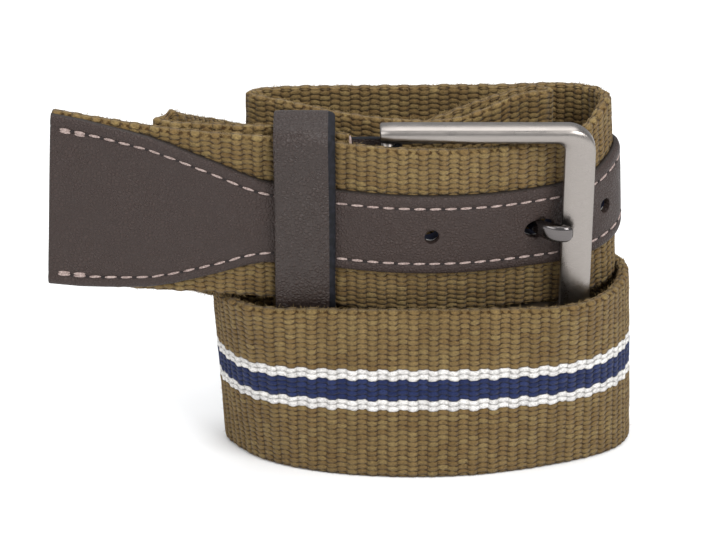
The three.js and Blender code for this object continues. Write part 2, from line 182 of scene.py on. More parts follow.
fine = spline(ROUTE)
FS = np.concatenate([[0], np.cumsum(np.linalg.norm(np.diff(fine[:, :3], axis=0), axis=1))])
lo, hi = np.clip(np.arange(len(fine)) - 2, 0, None), np.clip(np.arange(len(fine)) + 2, None, len(fine) - 1)
T = fine[hi, :3] - fine[lo, :3]; T /= np.linalg.norm(T, axis=1)[:, None]
Wv = np.stack([np.tan(np.radians(fine[:, 4])), -np.tan(np.radians(fine[:, 3])), np.ones(len(fine))], 1)
Wv /= np.linalg.norm(Wv, axis=1)[:, None]
Nv = np.cross(T, Wv); ACROSS = np.linalg.norm(Nv, axis=1)[:, None]; Nv /= ACROSS
Wv *= STRAP_WIDTH / 2 * np.minimum(1.08, 1 / ACROSS)
low = Wv[:, 2] + STRAP_THICK / 2 * np.abs(Nv[:, 2])
Cv = fine[:, :3].copy(); Cv[:, 2] = np.maximum(Cv[:, 2], low)
Cv -= CENTRE
LENGTH = FS[-1]


def surf(s, v, o):
    """Point of the strap at length s from the tip, v above its middle and o off its middle surface, in mm."""
    s = np.asarray(s, float)
    pick = lambda A: np.stack([np.interp(s, FS, A[:, k]) for k in range(3)], -1)
    return pick(Cv) + pick(Wv) * (np.asarray(v, float) / (STRAP_WIDTH / 2))[..., None] + pick(Nv) * np.asarray(o, float)[..., None]


def frame_at(s):
    return [np.array([np.interp(s, FS, A[:, k]) for k in range(3)]) for A in (Cv, T, Wv, Nv)]


def strip_half(s):
    r = np.array(STRIP)
    return np.interp(s, r[:, 0], r[:, 1])


def hash01(*k):
    x = np.zeros(np.broadcast(*k).shape)
    for i, q in enumerate(k):
        x = x + np.asarray(q, float) * (12.9898, 78.233, 37.719)[i]
    return np.mod(np.sin(x) * 43758.5453, 1.0)


# ------------------------------------------------------------------ mesh helpers
def make(name, verts_mm, faces, uv=None, mats=(), mat_index=None, smooth=True):
    me = bpy.data.meshes.new(name)
    me.from_pydata((np.asarray(verts_mm) * MM).tolist(), [], [list(map(int, f)) for f in faces])
    if uv is not None:
        layer = me.uv_layers.new(name="weave")
        layer.data.foreach_set("uv", np.asarray(uv, np.float32).ravel())
    for m in mats:
        me.materials.append(m)
    if mat_index is not None:
        me.polygons.foreach_set("material_index", np.asarray(mat_index, np.int32))
    me.polygons.foreach_set("use_smooth", [smooth] * len(me.polygons))
    me.update()
    ob = bpy.data.objects.new(name, me)
    bpy.context.scene.collection.objects.link(ob)
    return ob


def loft(rings, closed_ring=True, closed_path=False, caps=True):
    """Quads over a grid of rings (n, m, 3); returns verts, faces, and the grid place of each quad."""
    n, m = rings.shape[:2]
    i, j = np.meshgrid(np.arange(n if closed_path else n - 1), np.arange(m if closed_ring else m - 1), indexing="ij")
    i, j = i.ravel(), j.ravel()
    i2, j2 = (i + 1) % n, (j + 1) % m
    f = np.stack([i * m + j, i2 * m + j, i2 * m + j2, i * m + j2], 1)
    faces = f.tolist()
    if caps and not closed_path:
        faces.append(list(range(m)))
        faces.append([(n - 1) * m + k for k in reversed(range(m))])
    return rings.reshape(-1, 3), faces, i, j


def fix_normals(ob):
    bm = bmesh.new(); bm.from_mesh(ob.data)
    bmesh.ops.recalc_face_normals(bm, faces=bm.faces)
    bm.to_mesh(ob.data); bm.free()


def apply_mods(ob):
    dg = bpy.context.evaluated_depsgraph_get()
    me = bpy.data.meshes.new_from_object(ob.evaluated_get(dg), preserve_all_data_layers=True, depsgraph=dg)
    ob.modifiers.clear()
    old = ob.data
    ob.data = me
    bpy.data.meshes.remove(old)


def group_point(p, base, lean):
    a = math.radians(lean)
    p = np.asarray(p, float)
    y = p[..., 1] * math.cos(a) - p[..., 2] * math.sin(a)
    z = p[..., 1] * math.sin(a) + p[..., 2] * math.cos(a)
    return np.stack([p[..., 0], y, z], -1) + base - CENTRE


# ------------------------------------------------------------------ node materials
class Mat:
    def __init__(self, name):
        self.m = bpy.data.materials.new(name); self.m.use_nodes = True
        self.t = self.m.node_tree; self.b = self.t.nodes["Principled BSDF"]

    def n(self, kind, ins=None, **props):
        nd = self.t.nodes.new(kind)
        for k, v in props.items():
            setattr(nd, k, v)
        for k, v in (ins or {}).items():
            if isinstance(v, bpy.types.NodeSocket):
                self.t.links.new(v, nd.inputs[k])
            else:
                nd.inputs[k].default_value = v
        return nd

    def math(self, op, a, b=None, c=None, clamp=False):
        ins = {0: a}
        if b is not None: ins[1] = b
        if c is not None: ins[2] = c
        return self.n("ShaderNodeMath", ins, operation=op, use_clamp=clamp).outputs[0]

    def ramp(self, v, lo, hi, a=0.0, b=1.0, smooth=True):
        return self.n("ShaderNodeMapRange", {"Value": v, "From Min": lo, "From Max": hi, "To Min": a, "To Max": b},
                      interpolation_type="SMOOTHSTEP" if smooth else "LINEAR").outputs["Result"]

    def mix(self, f, a, b, blend="MIX"):
        nd = self.n("ShaderNodeMix", data_type="RGBA", blend_type=blend)
        for k, v in ((0, f), (6, a), (7, b)):
            if isinstance(v, bpy.types.NodeSocket): self.t.links.new(v, nd.inputs[k])
            else: nd.inputs[k].default_value = v
        return nd.outputs[2]

    def link(self, out, name):
        self.t.links.new(out, self.b.inputs[name])

    def coord(self, which="Object", scale=(1, 1, 1)):
        c = self.n("ShaderNodeTexCoord").outputs[which]
        return self.n("ShaderNodeMapping", {"Vector": c, "Scale": scale}).outputs[0]

    def noise(self, vec, scale, detail=4, rough=0.55):
        return self.n("ShaderNodeTexNoise", {"Vector": vec, "Scale": scale, "Detail": detail, "Roughness": rough}).outputs["Fac"]

    def bump(self, h, dist, strength=1.0, normal=None):
        ins = {"Height": h, "Distance": dist, "Strength": strength}
        if normal is not None: ins["Normal"] = normal
        return self.n("ShaderNodeBump", ins).outputs[0]


def rgb(r, g, b):
    f = lambda c: c / 255 / 12.92 if c / 255 <= 0.04045 else ((c / 255 + 0.055) / 1.055) ** 2.4
    return (f(r), f(g), f(b), 1)


def webbing_material():
    m = Mat("webbing_weave")
    uv = m.n("ShaderNodeUVMap", uv_map="weave").outputs[0]
    sep = m.n("ShaderNodeSeparateXYZ", {0: uv})
    u, v = sep.outputs[0], sep.outputs[1]
    wob = m.noise(m.n("ShaderNodeMapping", {"Vector": uv, "Scale": (0.35, 0.5, 1)}).outputs[0], 1.0, 2)
    u2 = m.math("ADD", u, m.math("MULTIPLY", m.math("SUBTRACT", wob, 0.5), 0.85))
    cu = m.math("DIVIDE", u2, COLUMN)
    fx = m.math("FRACT", cu); ci = m.math("FLOOR", cu)
    wave = m.math("MULTIPLY", m.math("SINE", m.math("MULTIPLY", cu, math.pi)), 2.4)
    wave = m.math("MINIMUM", m.math("MAXIMUM", wave, -1.0), 1.0)
    wob2 = m.noise(m.n("ShaderNodeMapping", {"Vector": uv, "Scale": (0.5, 0.3, 1), "Location": (31, 7, 0)}).outputs[0], 1.0, 2)
    v2 = m.math("ADD", m.math("ADD", v, m.math("MULTIPLY", wave, 0.21)), m.math("MULTIPLY", m.math("SUBTRACT", wob2, 0.5), 0.75))
    rv = m.math("DIVIDE", m.math("SUBTRACT", v2, STRIPE_TOP), ROW)
    fy = m.math("FRACT", rv); ri = m.math("FLOOR", rv)
    ay = m.math("ABSOLUTE", m.math("SUBTRACT", m.math("MULTIPLY", fy, 2.0), 1.0))
    ax = m.math("ABSOLUTE", m.math("SUBTRACT", m.math("MULTIPLY", fx, 2.0), 1.0))
    row = m.math("SUBTRACT", 1.0, m.math("POWER", ay, 2.2))
    rib = m.math("SUBTRACT", 1.0, m.math("MULTIPLY", m.math("POWER", ax, 3.0), 0.7))
    slit = m.math("MULTIPLY", m.math("POWER", ay, 3.0), m.ramp(ax, 0.1, 0.95, 0.22, 1.0))
    h = m.math("SUBTRACT", m.math("MULTIPLY", rib, m.math("ADD", 0.5, m.math("MULTIPLY", row, 0.5))), m.math("MULTIPLY", slit, 0.5))
    cell = m.n("ShaderNodeCombineXYZ", {0: ci, 1: ri}).outputs[0]
    rnd = m.n("ShaderNodeTexWhiteNoise", {"Vector": cell}, noise_dimensions="2D")
    r1 = rnd.outputs["Value"]
    fibre = m.noise(m.n("ShaderNodeMapping", {"Vector": uv, "Scale": (1.6, 9.0, 1)}).outputs[0], 1.0, 4, 0.65)
    fuzz = m.noise(m.n("ShaderNodeMapping", {"Vector": uv, "Scale": (1.9, 3.4, 1), "Location": (3, 17, 0)}).outputs[0], 1.0, 3, 0.7)
    tuft = m.noise(m.n("ShaderNodeMapping", {"Vector": uv, "Scale": (0.12, 0.1, 1)}).outputs[0], 1.0, 3)
    # stripe: rows 0..-8 below its upper edge, two white, four navy, two white
    inside = lambda a, b: m.math("MULTIPLY", m.math("GREATER_THAN", ri, b - 0.5), m.math("LESS_THAN", ri, a + 0.5))
    white = m.math("MAXIMUM", inside(-1, -2), inside(-7, -8))
    navy = inside(-3, -6)
    streak = m.n("ShaderNodeTexWhiteNoise", {"W": ci}, noise_dimensions="1D").outputs["Value"]
    olive = m.mix(m.ramp(tuft, 0.3, 0.7), rgb(111, 90, 55), rgb(126, 105, 67))
    olive = m.mix(m.math("MULTIPLY", r1, 0.5), olive, rgb(100, 76, 44))
    olive = m.mix(m.math("MULTIPLY", m.ramp(rnd.outputs["Color"], 0.5, 0.95), 0.4), olive, rgb(146, 128, 84))
    olive = m.mix(m.math("MULTIPLY", streak, 0.22), olive, rgb(84, 68, 38))
    col = m.mix(white, olive, m.mix(r1, rgb(228, 225, 221), rgb(208, 205, 202)))
    col = m.mix(navy, col, m.mix(r1, rgb(26, 36, 72), rgb(40, 50, 88)))
    fib = m.ramp(m.math("ADD", m.math("MULTIPLY", fibre, 0.55), m.math("MULTIPLY", fuzz, 0.45)), 0.34, 0.66, 0.56, 1.34)
    col = m.mix(1.0, col, m.n("ShaderNodeCombineColor", {0: fib, 1: fib, 2: fib}).outputs[0], "MULTIPLY")
    # painted shade: the slits between yarn rows and the column boundaries are darkened in the base colour (less on the
    # white stripe), standing in for the shade in the weave's gaps
    slit_shade = m.ramp(m.math("ADD", slit, m.math("MULTIPLY", m.math("SUBTRACT", fuzz, 0.5), 0.9)), 0.12, 0.46)
    slit_shade = m.math("MAXIMUM", slit_shade, m.ramp(ax, 0.76, 1.0, 0.0, 0.6))
    slit_shade_depth = m.math("MULTIPLY", slit_shade, m.math("ADD", 0.62, m.math("MULTIPLY", r1, 0.36)))
    dark = m.mix(white, m.mix(navy, rgb(56, 36, 10), rgb(8, 12, 30)), rgb(120, 116, 110))
    slit_shade_depth = m.math("MULTIPLY", slit_shade_depth, m.math("SUBTRACT", 1.0, m.math("MULTIPLY", white, 0.4)))
    col = m.mix(slit_shade_depth, col, dark)
    m.link(col, "Base Color")
    hb = m.math("ADD", m.math("MULTIPLY", h, 1.0), m.math("MULTIPLY", fibre, 0.22))
    hb = m.math("ADD", hb, m.math("ADD", m.math("MULTIPLY", r1, 0.12), m.math("MULTIPLY", fuzz, 0.3)))
    m.link(m.bump(hb, 0.0005, 1.0), "Normal")
    m.b.inputs["Roughness"].default_value = 0.92
    m.b.inputs["Specular IOR Level"].default_value = 0.06
    m.b.inputs["Sheen Weight"].default_value = 0.08
    m.b.inputs["Sheen Roughness"].default_value = 0.6
    return m.m


def leather_material(name, base, rough=0.5, grain=1350.0, depth=0.00009, shine=0.42):
    m = Mat(name)
    p = m.coord("Object")
    warp = m.n("ShaderNodeTexNoise", {"Vector": p, "Scale": 420.0, "Detail": 2.0})
    pv = m.n("ShaderNodeMix", {}, data_type="VECTOR")
    m.t.links.new(p, pv.inputs[4]); m.t.links.new(warp.outputs["Color"], pv.inputs[5]); pv.inputs[0].default_value = 0.0006
    vor = m.n("ShaderNodeTexVoronoi", {"Vector": pv.outputs[1], "Scale": grain}, feature="DISTANCE_TO_EDGE").outputs["Distance"]
    peb = m.ramp(vor, 0.0, 0.32)
    fine = m.noise(p, 5200.0, 3)
    big = m.noise(p, 90.0, 3)
    wear = m.noise(p, 320.0, 4)
    h = m.math("ADD", m.math("MULTIPLY", peb, m.ramp(big, 0.25, 0.7, 0.45, 1.0)), m.math("MULTIPLY", fine, 0.3))
    m.link(m.bump(h, depth, 0.85), "Normal")
    c = m.mix(m.ramp(big, 0.3, 0.7), tuple(x * 0.93 for x in base[:3]) + (1,), tuple(min(1, x * 1.1) for x in base[:3]) + (1,))
    c = m.mix(m.math("MULTIPLY", m.math("SUBTRACT", 1.0, peb), 0.42), c, tuple(x * 0.5 for x in base[:3]) + (1,))
    c = m.mix(m.math("MULTIPLY", m.ramp(wear, 0.62, 0.8), 0.25), c, tuple(min(1, x * 1.5) for x in base[:3]) + (1,))
    m.link(c, "Base Color")
    m.link(m.ramp(m.math("ADD", m.math("MULTIPLY", wear, 0.5), m.math("MULTIPLY", fine, 0.5)), 0.3, 0.7, rough - 0.07, rough + 0.1), "Roughness")
    m.b.inputs["Specular IOR Level"].default_value = shine
    return m.m


def edge_material():
    m = Mat("painted_edge")
    p = m.coord("Object")
    nz = m.noise(p, 900.0, 4)
    m.link(m.mix(m.ramp(nz, 0.35, 0.7), rgb(10, 11, 15), rgb(30, 30, 36)), "Base Color")
    m.link(m.bump(nz, 0.0001, 0.6), "Normal")
    m.link(m.ramp(nz, 0.3, 0.7, 0.55, 0.75), "Roughness")
    m.b.inputs["Specular IOR Level"].default_value = 0.18
    return m.m


def thread_material():
    m = Mat("thread")
    p = m.coord("Object")
    nz = m.noise(p, 2600.0, 3)
    m.link(m.mix(m.ramp(nz, 0.3, 0.7), rgb(120, 102, 97), rgb(172, 154, 147)), "Base Color")
    m.link(m.bump(nz, 0.0001, 0.8), "Normal")
    m.b.inputs["Roughness"].default_value = 0.8
    return m.m


def fibre_material():
    m = Mat("loose_fibre")
    nz = m.noise(m.coord("Object"), 700.0, 2)
    m.link(m.mix(m.ramp(nz, 0.3, 0.7), rgb(112, 90, 54), rgb(150, 128, 86)), "Base Color")
    m.b.inputs["Roughness"].default_value = 0.9
    return m.m


# painted shade: near-black colour for the walls of the punched holes and the marks in the stitch gaps, standing in for
# the shade inside those holes
def hole_shade_material():
    m = Mat("hole_painted_shade")
    nz = m.noise(m.coord("Object"), 1500.0, 3)
    m.link(m.mix(nz, rgb(20, 14, 14), rgb(38, 28, 26)), "Base Color")
    m.b.inputs["Roughness"].default_value = 0.9
    return m.m


def metal_material(name, base, rough, brush=0.5, streak=(160, 9000, 9000)):
    m = Mat(name)
    p = m.coord("Object", streak)
    st = m.noise(p, 1.0, 5, 0.7)
    sm = m.noise(m.coord("Object"), 260.0, 4)
    m.link(m.mix(m.ramp(st, 0.3, 0.7), tuple(x * 0.88 for x in base[:3]) + (1,), base), "Base Color")
    m.link(m.ramp(m.math("ADD", m.math("MULTIPLY", st, 0.6), m.math("MULTIPLY", sm, 0.4)), 0.3, 0.7, rough - 0.06, rough + 0.1), "Roughness")
    m.link(m.bump(st, 0.00002, brush), "Normal")
    m.b.inputs["Metallic"].default_value = 1.0
    return m.m


MAT_WEB = webbing_material()
MAT_TIP = leather_material("tip_leather_grain", rgb(55, 43, 39), rough=0.52, depth=0.00022, shine=0.3)
MAT_KEEP = leather_material("keeper_leather_grain", rgb(52, 41, 37), rough=0.44, grain=1150.0, depth=0.0003, shine=0.38)
MAT_BEVEL = leather_material("strip_cut_edge", rgb(46, 39, 36), rough=0.62, depth=0.00006, shine=0.3)
MAT_EDGE = edge_material()
MAT_THREAD = thread_material()
MAT_HOLE_SHADE = hole_shade_material()
MAT_FRAME = metal_material("satin_nickel", rgb(150, 144, 139), 0.3)
MAT_PRONG = metal_material("dark_nickel", rgb(104, 100, 99), 0.16, brush=0.2)

# ------------------------------------------------------------------ camera at the photograph's angle
cam_data = bpy.data.cameras.new("camera")
cam_data.sensor_width = 36.0
cam_data.lens = 2918.0 / 728.0 * 36.0
cam_data.clip_start, cam_data.clip_end = 0.05, 20.0
cam = bpy.data.objects.new("camera", cam_data)
bpy.context.scene.collection.objects.link(cam)
target = (np.array([0, 0, 40.0]) - CENTRE) * MM
e = math.radians(21.0)
cam.location = Vector(target) + 0.65 * Vector((0, -math.cos(e), math.sin(e)))
cam.rotation_euler = (math.radians(90 - 21.0), 0, 0)
bpy.context.scene.camera = cam

# ------------------------------------------------------------------ webbing
STEP = COLUMN / 4
ss = np.append(np.arange(0, LENGTH - 0.2, STEP), LENGTH)
face_v = np.concatenate([[-19.35], np.linspace(-18.4, 18.4, 21), [19.35]])
m_face = len(face_v)
loop_v = np.concatenate([face_v, [19.72, 19.85, 19.72], face_v[::-1], [-19.72, -19.85, -19.72]])
side = np.concatenate([np.ones(m_face), [0.62, 0, -0.62], -np.ones(m_face), [-0.62, 0, 0.62]])
S, V = np.meshgrid(ss, loop_v, indexing="ij")
SIDE = np.broadcast_to(side, S.shape)
ci = np.floor(S / COLUMN)
wave = np.clip(np.sin(np.pi * S / COLUMN) * 2.4, -1, 1)
rib = -np.cos(2 * np.pi * S / COLUMN)
half_t = 1.24 + 0.11 * rib + 0.10 * (hash01(ci, np.round(V * 0.8), SIDE) - 0.5)
soft = 0.10 * np.sin(S * 0.11 + V * 0.13) * np.sin(S * 0.047 + 1.3)
edge = np.clip((np.abs(V) - 18.9) / 0.9, 0, 1)
half_t = half_t * (1 - 0.06 * edge)
Vd = V + edge * np.sign(V) * (0.10 * wave + 0.16 * (hash01(ci, np.sign(V), V * 0) - 0.5))
O = SIDE * half_t + soft * 0.6
rings = surf(S, Vd, O)
rings[..., 2] = np.maximum(rings[..., 2], 0.02)
verts, faces, qi, qj = loft(rings)
v_start = np.concatenate([face_v, [19.5, 20.2, 20.9], face_v[::-1], [-19.5, -20.2, -20.9]])
v_end = np.roll(v_start, -1); v_end[m_face + 2] = 21.6; v_end[m_face * 2 + 2] = -19.5; v_end[-1] = -21.6
v_end[m_face - 1] = 19.5
s_next = ss[np.minimum(qi + 1, len(ss) - 1)]
uv = np.stack([np.stack([ss[qi], v_start[qj]], 1), np.stack([s_next, v_start[qj]], 1), np.stack([s_next, v_end[qj]], 1), np.stack([ss[qi], v_end[qj]], 1)], 1).reshape(-1, 2)
cap = lambda s0: np.stack([side * 1.3 + s0, loop_v], 1)
uv = np.concatenate([uv, cap(0.0), cap(LENGTH)[::-1]])
webbing = make("webbing", verts, faces, uv=uv, mats=[MAT_WEB])
fix_normals(webbing)


def pins(length, grow=0.0):
    """One joined mesh of the punched holes' pins, through the strap."""
    bm = bmesh.new()
    for s, r, stretch in HOLES:
        c, t, w, n = frame_at(s)
        w = w / np.linalg.norm(w)
        x = np.cross(w, n)
        mat = Matrix([[x[k] * stretch, w[k], n[k], c[k] + 0.6 * n[k]] for k in range(3)] + [[0, 0, 0, 1]])
        bmesh.ops.create_cone(bm, cap_ends=True, segments=28, radius1=r + grow, radius2=r + grow, depth=length, matrix=mat)
    me = bpy.data.meshes.new("pins"); bm.to_mesh(me); bm.free()
    me.transform(Matrix.Scale(MM, 4))
    ob = bpy.data.objects.new("pins", me)
    bpy.context.scene.collection.objects.link(ob)
    return ob


def punch(ob, tool, solver="EXACT"):
    md = ob.modifiers.new("punch", "BOOLEAN"); md.operation = "DIFFERENCE"; md.object = tool; md.solver = solver
    apply_mods(ob)


tool = pins(9.0)
# the boolean gives the punched holes' walls this tool's near-black painted shade
tool.data.materials.append(MAT_HOLE_SHADE)
punch(webbing, tool)

# ------------------------------------------------------------------ leather strip on the tip
st_s = np.concatenate([[0, 0.06, 0.2, 0.45], np.arange(0.9, 199.4, 0.55), [199.55, 199.8, 199.94, 200]])
inset = np.array([0, 0.0, 0.12, 0.4, 0.85, 1.4, 2.0, 2.5, 2.75, 3.0, 3.3, 3.9, 5.2])
lift = np.array([1.42, 1.95, 2.3, 2.6, 2.8, 2.92, 2.92, 2.8, 2.7, 2.8, 2.88, 2.92, 2.94])
halfs = strip_half(st_s)
k_in = len(inset)
inner_k = np.linspace(-1, 1, 9)[1:-1]
ring_v, ring_o = [], []
for i, s in enumerate(st_s):
    h = halfs[i]
    mid = (h - 5.2) * inner_k
    v = np.concatenate([-h + inset, mid, (h - inset)[::-1]])
    o = np.concatenate([lift, np.full(len(inner_k), 2.95), lift[::-1]])
    end = min(s, 200 - s)
    drop = {True: 0.5 * (1 - min(end / 0.45, 1)) ** 2}[True]
    o = np.where(o > 2, o - drop, o)
    ring_v.append(v); ring_o.append(o)
ring_v, ring_o = np.array(ring_v), np.array(ring_o)
SS = np.repeat(st_s[:, None], ring_v.shape[1], 1)
ring_o = ring_o + 0.05 * np.sin(SS * 0.19 + ring_v * 0.21) * (ring_o > 2)
rings = surf(SS, ring_v, ring_o)
verts, faces, qi, qj = loft(rings)
m_ring = ring_v.shape[1]
is_edge = ((qj < 2) | (qj >= m_ring - 3)).astype(int)
tip = make("tip_leather_strip", verts, faces, mats=[MAT_TIP, MAT_BEVEL], mat_index=np.concatenate([is_edge, [1, 1]]))
fix_normals(tip)
punch(tip, tool)
bpy.data.objects.remove(tool)


# ------------------------------------------------------------------ stitches
def ellipsoids(name, rows, mat, seg=8, ring=6):
    """rows: centre, three half axes as vectors, in mm."""
    th = np.linspace(0, np.pi, ring + 1)[1:-1]; ph = np.linspace(0, 2 * np.pi, seg, endpoint=False)
    unit = [[0, 0, 1]] + [[math.sin(a) * math.cos(b), math.sin(a) * math.sin(b), math.cos(a)] for a in th for b in ph] + [[0, 0, -1]]
    unit = np.array(unit)
    f = [[0, 1 + k, 1 + (k + 1) % seg] for k in range(seg)]
    for i in range(ring - 2):
        a = 1 + i * seg
        f += [[a + k, a + seg + k, a + seg + (k + 1) % seg, a + (k + 1) % seg] for k in range(seg)]
    last = 1 + (ring - 1) * seg
    a = 1 + (ring - 2) * seg
    f += [[a + k, last, a + (k + 1) % seg] for k in range(seg)]
    V, F = [], []
    for c, A, B, C in rows:
        base = len(V) * len(unit)
        V.append(c + unit[:, :1] * B + unit[:, 1:2] * C + unit[:, 2:] * A)
        F += [[base + q for q in face] for face in f]
    ob = make(name, np.concatenate(V), F, mats=[mat])
    fix_normals(ob)
    return ob


PITCH = 3.3
threads, needles = [], []
for sign in (1, -1):
    s = 3.5
    k = 0
    while s < 198:
        L = 1.32
        v0 = sign * (strip_half(s - L) - 2.75); v1 = sign * (strip_half(s + L) - 2.75)
        p0 = surf(s - L, v0, 2.78); p1 = surf(s + L, v1 + 0.12, 2.78)
        c = (p0 + p1) / 2; A = (p1 - p0) / 2
        _, t, w, n = frame_at(s)
        w = w / np.linalg.norm(w)
        j = hash01(float(k), float(sign), 3.0)
        thick = 0.38 if k < 2 else 0.31
        A = A * (0.94 + 0.1 * float(j)) + w * 0.06 * (float(j) - 0.5)
        threads.append((c + n * 0.03, A, n * thick * 0.8, w * thick))
        if k < 2:
            threads.append((c + n * 0.02 - w * 0.5 * sign, A * 0.96, n * thick * 0.75, w * thick))
        q = surf(s + PITCH / 2, sign * (strip_half(s + PITCH / 2) - 2.75), 2.8)
        needles.append((q, t * 0.48, n * 0.13, w * 0.4))
        s += PITCH; k += 1
stitches = ellipsoids("tip_stitches", threads, MAT_THREAD)
# flat dark marks between the stitches: painted shade of the needle holes
holes = ellipsoids("stitch_holes_painted_shade", needles, MAT_HOLE_SHADE, seg=8, ring=4)


# ------------------------------------------------------------------ keeper
def rounded(points, grow, per=7):
    pts = [(p[0] + grow * np.sign(p[0]), p[1] + (grow * np.sign(p[1]) if abs(p[1]) > 15 else 0), p[2] + grow) for p in points]
    out = []
    for i, (y, z, r) in enumerate(pts):
        q, n = pts[i - 1], pts[(i + 1) % len(pts)]
        lq, ln = math.hypot(q[0] - y, q[1] - z), math.hypot(n[0] - y, n[1] - z)
        a = np.array([y + (q[0] - y) * r / lq, z + (q[1] - z) * r / lq]); b = np.array([y + (n[0] - y) * r / ln, z + (n[1] - z) * r / ln])
        c = np.array([y, z])
        for t in np.linspace(0, 1, per):
            out.append((1 - t) ** 2 * a + 2 * t * (1 - t) * c + t * t * b)
    return np.array(out)


def resample(P, step):
    Q = np.vstack([P, P[:1]])
    d = np.concatenate([[0], np.cumsum(np.linalg.norm(np.diff(Q, axis=0), axis=1))])
    s = np.linspace(0, d[-1], int(d[-1] / step), endpoint=False)
    return np.stack([np.interp(s, d, Q[:, k]) for k in range(2)], 1)


KEEPER_INSIDE = [(-4.4, -21.2, 2.4), (6.1, -21.4, 1.6), (6.1, 22.5, 2.8), (-6.1, 22.5, 2.0), (-6.1, -9, 5)]
P = resample(rounded(KEEPER_INSIDE, 0.0, 14), 0.5)
tan = np.roll(P, -1, 0) - np.roll(P, 1, 0); tan /= np.linalg.norm(tan, axis=1)[:, None]
nor = np.stack([tan[:, 1], -tan[:, 0]], 1)
sec = [(-6.45, 0.0), (-6.5, 0.25), (-6.5, 0.9), (-6.32, 1.16), (-6.0, 1.28), (-5.2, 1.32), (-3, 1.34), (0, 1.35), (3, 1.34), (4.6, 1.31), (5.1, 1.24), (5.7, 1.0), (6.3, 0.7), (6.5, 0.25), (6.45, 0.0), (0, 0.0)]
rings = np.zeros((len(P), len(sec), 3))
for j, (x, o) in enumerate(sec):
    wob = 0.06 * np.sin(np.arange(len(P)) * 0.21) * (1 if abs(x) < 6 else 0)
    rings[:, j, 0] = x + 0.08 * np.sin(np.arange(len(P)) * 0.05 + x)
    rings[:, j, 1:] = P + nor * (o - (0.02 if o > 1 else 0) + 0 * wob)[..., None] if np.ndim(o) else P + nor * o
rings = group_point(rings, KEEPER, KEEPER_LEAN)
verts, faces, qi, qj = loft(rings, closed_path=True)
ed = np.isin(qj, [0, 1, len(sec) - 6, len(sec) - 5, len(sec) - 4, len(sec) - 3]).astype(int)
keeper = make("keeper_loop", verts, faces, mats=[MAT_KEEP, MAT_EDGE], mat_index=ed)
fix_normals(keeper)

# ------------------------------------------------------------------ chape
BAR_X, BAR_R, LT = -21.3, 1.5, 1.3
wrap, flat = BAR_R + 0.3 + LT / 2, 1.4 + 0.3 + LT / 2
line = [(-41.5, -flat), (-38, -flat), (-34, -flat), (-30, -flat), (-28, -flat - 0.03), (-26, -wrap - 0.05), (-23.5, -wrap)]
line += [(BAR_X + wrap * math.cos(a), wrap * math.sin(a)) for a in np.linspace(-math.pi / 2, math.pi / 2, 17)]
line += [(x, -y) for x, y in reversed(line[:7])]
line = np.array(line)
d = np.concatenate([[0], np.cumsum(np.linalg.norm(np.diff(line, axis=0), axis=1))])
q = np.linspace(0, d[-1], int(d[-1] / 0.45))
L2 = np.stack([np.interp(q, d, line[:, k]) for k in range(2)], 1)
tan = np.gradient(L2, axis=0); tan /= np.linalg.norm(tan, axis=1)[:, None]
nor = np.stack([tan[:, 1], -tan[:, 0]], 1)  # away from the fold's inside
LOW, HIGH = -16.9, 20.0
zs = [(LOW, -0.5), (LOW, 0.3), (LOW + 0.12, 0.55), (LOW + 0.4, 0.65), (LOW + 3, 0.65), (0, 0.65), (HIGH - 3, 0.65), (HIGH - 0.4, 0.65), (HIGH - 0.12, 0.55), (HIGH, 0.3), (HIGH, -0.5), (HIGH - 0.15, -0.65), (0, -0.65), (LOW + 0.15, -0.65)]
rings = np.zeros((len(L2), len(zs), 3))
for j, (z, o) in enumerate(zs):
    rings[:, j, :2] = L2 + nor * o
    rings[:, j, 2] = z
verts, faces, qi, qj = loft(group_point(rings, BUCKLE, BUCKLE_LEAN))
ed = np.isin(qj, [0, 1, 8, 9, 10]).astype(int)
chape = make("chape_fold", verts, faces, mats=[MAT_TIP, MAT_EDGE], mat_index=np.concatenate([ed, [1, 1]]))
fix_normals(chape)
bm = bmesh.new()
bmesh.ops.create_cube(bm, size=1.0)
for v in bm.verts:
    p = group_point(np.array([v.co.x * 11.4 + BAR_X + 0.7, v.co.y * 12, v.co.z * 6.4]), BUCKLE, BUCKLE_LEAN)
    v.co = Vector(p * MM)
me = bpy.data.meshes.new("slot"); bm.to_mesh(me); bm.free(); me.materials.append(MAT_EDGE)
slot = bpy.data.objects.new("slot", me); bpy.context.scene.collection.objects.link(slot)
punch(chape, slot)
bpy.data.objects.remove(slot)


# the one stitch that shows over the chape's upper edge
c0 = group_point(np.array([-29.4, 0.0, HIGH + 0.05]), BUCKLE, BUCKLE_LEAN)
turned = lambda v: group_point(np.array(v, float), np.zeros(3), BUCKLE_LEAN) + CENTRE
chape_stitch = ellipsoids("chape_stitch", [(c0, turned([0, 3.15, 0]), turned([0.38, 0, 0]), turned([0, 0, 0.42]))], MAT_THREAD, seg=10, ring=8)

# ------------------------------------------------------------------ buckle frame: a crowned section swept round its three sides
def arc(cx, cz, r, n):
    a = np.linspace(np.pi / 2, 0, n)
    return np.stack([cx + r * np.cos(a), cz + r * np.sin(a)], 1)


